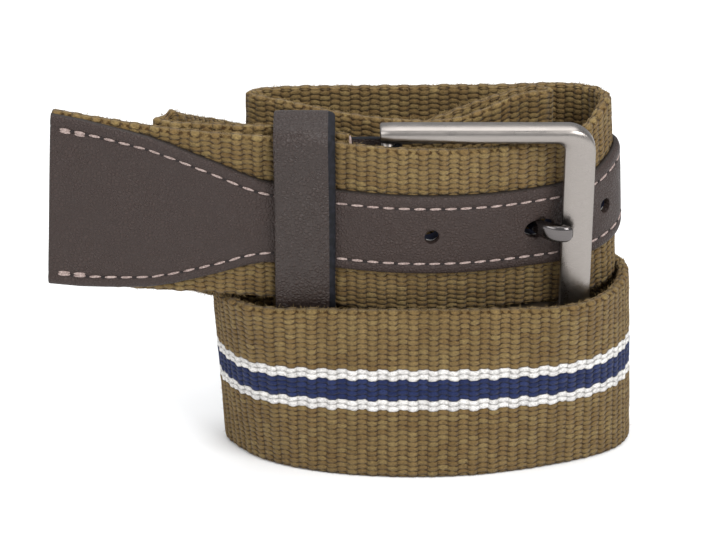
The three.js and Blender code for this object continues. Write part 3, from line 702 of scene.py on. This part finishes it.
line = lambda x0, z0, x1, z1, n: np.stack([np.linspace(x0, x1, n), np.linspace(z0, z1, n)], 1)
SIDE_IN = 16.4
inner = np.vstack([line(-22.9, 20.8, SIDE_IN - 1.8, 20.8, 24), arc(SIDE_IN - 1.8, 19.0, 1.8, 12)[1:], line(SIDE_IN, 19.0, SIDE_IN, 0, 20)[1:]])
outer = np.vstack([line(-22.9, 24.1, 17.5, 24.1, 24), arc(17.5, 18.6, 5.5, 12)[1:], line(23, 18.6, 23, 0, 20)[1:]])
rear = np.concatenate([np.full(24, 2.0), np.linspace(2.0, 0.6, 12)[1:], np.full(19, 0.6)])
mirror = lambda q: np.vstack([q, (q * [1, -1])[::-1][1:]])
inner, outer, rear = mirror(inner), mirror(outer), np.concatenate([rear, rear[::-1][1:]])
front_t = np.array([0, 0.04, 0.1, 0.18, 0.28, 0.4, 0.5, 0.6, 0.72, 0.82, 0.9, 0.96, 1.0])
back_t = np.array([1.0, 0.97, 0.9, 0.8, 0.5, 0.2, 0.1, 0.03, 0.0])
back_y = np.array([-0.6, -0.2, -0.05, 0, 0, 0, -0.05, -0.2, -0.6])
rings = np.zeros((len(inner), len(front_t) + len(back_t), 3))
for i in range(len(inner)):
    end = min(i, len(inner) - 1 - i)
    pinch = {0: 0.35, 1: 0.12}.get(end, 0.0) if end < 2 else 0.0
    tt = np.concatenate([front_t, back_t])
    yy = np.concatenate([-2.8 + 0.85 * np.abs(2 * front_t - 1) ** 2.6, rear[i] + back_y])
    tt = 0.5 + (tt - 0.5) * (1 - pinch * 0.5)
    yy = yy * (1 - pinch * 0.35)
    xz = inner[i] + (outer[i] - inner[i]) * tt[:, None]
    rings[i, :, 0], rings[i, :, 1], rings[i, :, 2] = xz[:, 0], yy, xz[:, 1]
rings[0, :, 0] -= 0.1; rings[-1, :, 0] -= 0.1
rings[1, :, 0] = rings[0, :, 0] + 0.35; rings[-2, :, 0] = rings[-1, :, 0] + 0.35
v1, f1, _, _ = loft(rings)
turn = np.linspace(0, 2 * np.pi, 32, endpoint=False)
bar = np.zeros((9, 32, 3))
for i, z in enumerate(np.linspace(-21.4, 21.4, 9)):
    bar[i, :, 0] = BAR_X + BAR_R * np.cos(turn); bar[i, :, 1] = BAR_R * np.sin(turn); bar[i, :, 2] = z
v2, f2, _, _ = loft(bar)
buckle = make("buckle_frame_satin", group_point(np.vstack([v1, v2]), BUCKLE, BUCKLE_LEAN), f1 + [[len(v1) + k for k in f] for f in f2], mats=[MAT_FRAME])
fix_normals(buckle)

# the prong: a ring round the bar and a bar that swells and bends over the frame
path = np.array([(-18.6, 0.3, -0.5, 1.0, 1.1), (-12, 1.0, -0.6, 1.05, 1.1), (-2, 2.6, -0.6, 1.05, 1.1), (4.6, 4.0, -0.6, 1.05, 1.1), (7.0, 4.15, -0.55, 1.1, 1.1), (8.6, 3.2, -0.5, 1.15, 1.1),
                 (9.9, 1.5, -0.4, 1.25, 1.1), (11.0, -0.3, -0.2, 1.5, 1.08), (12.1, -2.0, 0.0, 1.78, 1.08), (13.3, -3.3, 0.1, 1.92, 1.12), (14.7, -4.1, 0.15, 1.95, 1.2), (16.3, -4.4, 0.15, 1.95, 1.25),
                 (17.5, -4.35, 0.15, 1.88, 1.15), (18.2, -4.15, 0.15, 1.6, 0.9), (18.5, -4.05, 0.15, 1.0, 0.5)])
u = np.concatenate([[0], np.cumsum(np.linalg.norm(np.diff(path[:, :2], axis=0), axis=1))])
q = np.linspace(0, u[-1], 110)
pp = np.stack([np.interp(q, u, path[:, k]) for k in range(5)], 1)
for _ in range(3):
    pp[1:-1] = (pp[:-2] + 2 * pp[1:-1] + pp[2:]) / 4
tan = np.gradient(pp[:, :2], axis=0); tan /= np.linalg.norm(tan, axis=1)[:, None]
nor = np.stack([tan[:, 1], -tan[:, 0]], 1)
ang = np.linspace(0, 2 * np.pi, 24, endpoint=False)
ca, sa = np.cos(ang), np.sin(ang)
ex, ez = np.sign(ca) * np.abs(ca) ** 0.62, np.sign(sa) * np.abs(sa) ** 0.62
rings = np.zeros((len(pp), 24, 3))
rings[..., :2] = pp[:, None, :2] + nor[:, None, :] * (ex[None, :, None] * pp[:, None, 4:5])
rings[..., 2] = pp[:, 2:3] + ez[None] * pp[:, 3:4]
v1, f1, _, _ = loft(rings)
ring_sec = [(1.8, -2.3), (1.95, -2.5), (2.75, -2.5), (3.0, -2.25), (3.0, 2.25), (2.75, 2.5), (1.95, 2.5), (1.8, 2.3)]
turn = np.linspace(0, 2 * np.pi, 40, endpoint=False)
ring = np.zeros((40, len(ring_sec), 3))
for j, (r, z) in enumerate(ring_sec):
    ring[:, j, 0] = BAR_X + r * np.cos(turn); ring[:, j, 1] = r * np.sin(turn); ring[:, j, 2] = z
v2, f2, _, _ = loft(ring, closed_path=True)
prong = make("prong_polished", group_point(np.vstack([v1, v2]), BUCKLE, BUCKLE_LEAN), f1 + [[len(v1) + k for k in f] for f in f2], mats=[MAT_PRONG])
fix_normals(prong)

# ------------------------------------------------------------------ loose fibres on the webbing
count = 22000
hs = rng.uniform(0.5, LENGTH - 0.5, count)
rim = rng.random(count) < 0.45
hv = np.where(rim, np.sign(rng.random(count) - 0.5) * 19.7, rng.uniform(-19.4, 19.4, count))
ho = np.where(rim, rng.uniform(-1.1, 1.1, count), np.sign(rng.random(count) - 0.5) * 1.3)
keep = (np.abs(hv) > 6.6) & ~((hs < 201) & (ho > 0) & (np.abs(hv) < np.interp(hs, [0, 7, 12, 17, 22, 27, 32, 37, 42, 46, 50, 62, 200], [20, 20, 20, 19.4, 18.8, 17.6, 16, 14.2, 12.2, 10.8, 10.4, 10.2, 10.2]) + 0.3))
hs, hv, ho, rim = hs[keep], hv[keep], ho[keep], rim[keep]
base = surf(hs, hv, ho)
out = surf(hs, hv + np.where(rim, np.sign(hv), 0), ho + np.where(rim, 0, np.sign(ho))) - base
along = surf(hs + 0.5, hv, ho) - surf(hs - 0.5, hv, ho)
up = surf(hs, hv + 0.5, ho) - surf(hs, hv - 0.5, ho)
k = len(hs)
d = out * rng.uniform(0.15, 0.6, (k, 1)) + along * rng.normal(0, 0.5, (k, 1)) + up * rng.normal(0, 0.35, (k, 1))
d /= np.linalg.norm(d, axis=1)[:, None]
ln = rng.uniform(0.4, 1.35, (k, 1))
sx = np.cross(d, rng.normal(0, 1, (k, 3))); sx /= np.linalg.norm(sx, axis=1)[:, None]
sy = np.cross(d, sx)
r = 0.055
b0 = base - d * 0.12
pts = np.stack([b0 + sx * r, b0 + (-0.5 * sx + 0.866 * sy) * r, b0 + (-0.5 * sx - 0.866 * sy) * r, b0 + d * ln], 1)
pts[..., 2] = np.maximum(pts[..., 2], 0.02)
i4 = np.arange(k)[:, None] * 4
fibres = make("webbing_fibres", pts.reshape(-1, 3), np.concatenate([i4 + [0, 1, 3], i4 + [1, 2, 3], i4 + [2, 0, 3], i4 + [0, 2, 1]]).tolist(), mats=[fibre_material()])
fix_normals(fibres)

# ------------------------------------------------------------------ pieces and bodies
for piece, node, slot_name in [(webbing, "webbing_strap", "webbing"), (tip, "tip_leather", "strap_leather"), (keeper, "keeper", "strap_leather"),
                               (chape, "chape", "strap_leather"), (buckle, "buckle_frame", "buckle_metal"), (prong, "prong", "prong_metal")]:
    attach(piece, "root"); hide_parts(node)
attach(fibres, "root")
for piece in (stitches, holes, chape_stitch):
    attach(piece, "root")

# ------------------------------------------------------------------ floor and light
fm = Mat("floor")
nz = fm.noise(fm.coord("Object"), 3.0, 2)
fm.link(fm.mix(nz, (0.90, 0.90, 0.90, 1), (0.93, 0.93, 0.93, 1)), "Base Color")
fm.b.inputs["Roughness"].default_value = 0.8
bpy.ops.mesh.primitive_plane_add(size=6.0, location=(0, 0, -0.0002))
floor = bpy.context.object
floor.name = "floor"
floor.data.materials.append(fm.m)


def area(name, loc, size, power, aim=(0, 0, 0.04), color=(1, 1, 1)):
    ld = bpy.data.lights.new(name, "AREA"); ld.shape = "RECTANGLE"; ld.size, ld.size_y = size; ld.energy = power; ld.color = color
    ob = bpy.data.objects.new(name, ld); bpy.context.scene.collection.objects.link(ob)
    ob.location = loc
    ob.rotation_euler = (Vector(aim) - Vector(loc)).to_track_quat("-Z", "Y").to_euler()


area("key", (0.6, -0.7, 0.75), (0.6, 0.6), 10.5)
area("fill", (-0.7, -0.6, 0.6), (0.6, 0.6), 4.0)
area("top", (0.0, 0.15, 1.1), (1.0, 1.0), 9.0)
w = bpy.data.worlds.new("world"); bpy.context.scene.world = w; w.use_nodes = True
w.node_tree.nodes["Background"].inputs[0].default_value = (0.9, 0.92, 0.95, 1)
w.node_tree.nodes["Background"].inputs[1].default_value = 0.55
bpy.context.scene.view_settings.view_transform = "Standard"
bpy.context.scene.view_settings.exposure = 0.0
